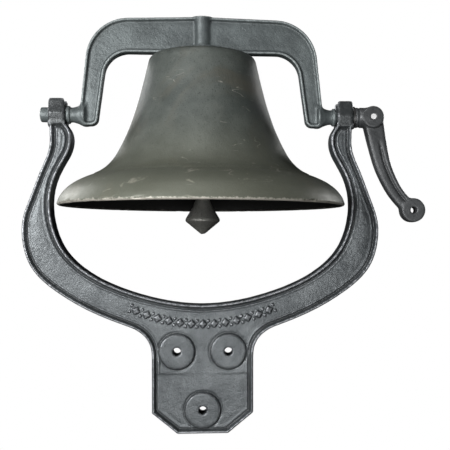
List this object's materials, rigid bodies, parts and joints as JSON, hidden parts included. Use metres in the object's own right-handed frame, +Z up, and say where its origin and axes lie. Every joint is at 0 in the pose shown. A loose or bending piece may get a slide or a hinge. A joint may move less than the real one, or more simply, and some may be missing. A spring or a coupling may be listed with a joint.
{
  "type": "yard dinner bell",
  "caption": "Cast-iron dinner bell on an arched yoke, swinging by two trunnions in a lyre-shaped upright, rung by a curved side crank with a rope eye.",
  "frame": {"origin": "on the flat back of the mounting plate, midway in height between its upper and lower bolt holes", "axes": "+Z up, -Y the bell's front, +X the crank's side"},
  "size_m": [0.4318, 0.3048, 0.445],
  "materials": {
    "frame_iron": "satin dark grey paint on sand-cast iron",
    "yoke_iron": "satin dark grey paint on sand-cast iron",
    "bell_iron": "weathered olive grey, rubbed along the lip",
    "clapper_iron": "dark, worn bright where it strikes",
    "crank_iron": "satin dark grey paint on sand-cast iron",
    "steel": "dull zinc plate",
    "pin_steel": "bright rubbed steel",
    "leather": "dark oiled leather"
  },
  "bodies": {
    "stand": {"mounting_frame": "frame_iron"},
    "swing": {"yoke": "yoke_iron", "bell": "bell_iron", "crown_packing": "leather", "crown_washer": "steel", "spring_washer": "steel", "crown_nut": "steel", "hanger_bolt": "steel", "clapper_pin": "steel", "pin_washer": "steel", "cotter": "steel", "crank": "crank_iron", "crank_washer": "steel", "crank_pin": "pin_steel"},
    "striker": {"clapper": "clapper_iron"}
  },
  "joints": [
    {"name": "bell_swing", "type": "hinge", "parent": "stand", "child": "swing", "pos_m": [0, -0.013, 0.2835], "axis": [1, 0, 0], "range_deg": [-75, 75]},
    {"name": "clapper_swing", "type": "hinge", "parent": "swing", "child": "striker", "pos_m": [0, -0.013, 0.3025], "axis": [1, 0, 0], "range_deg": [-42.2, 42.2]}
  ]
}
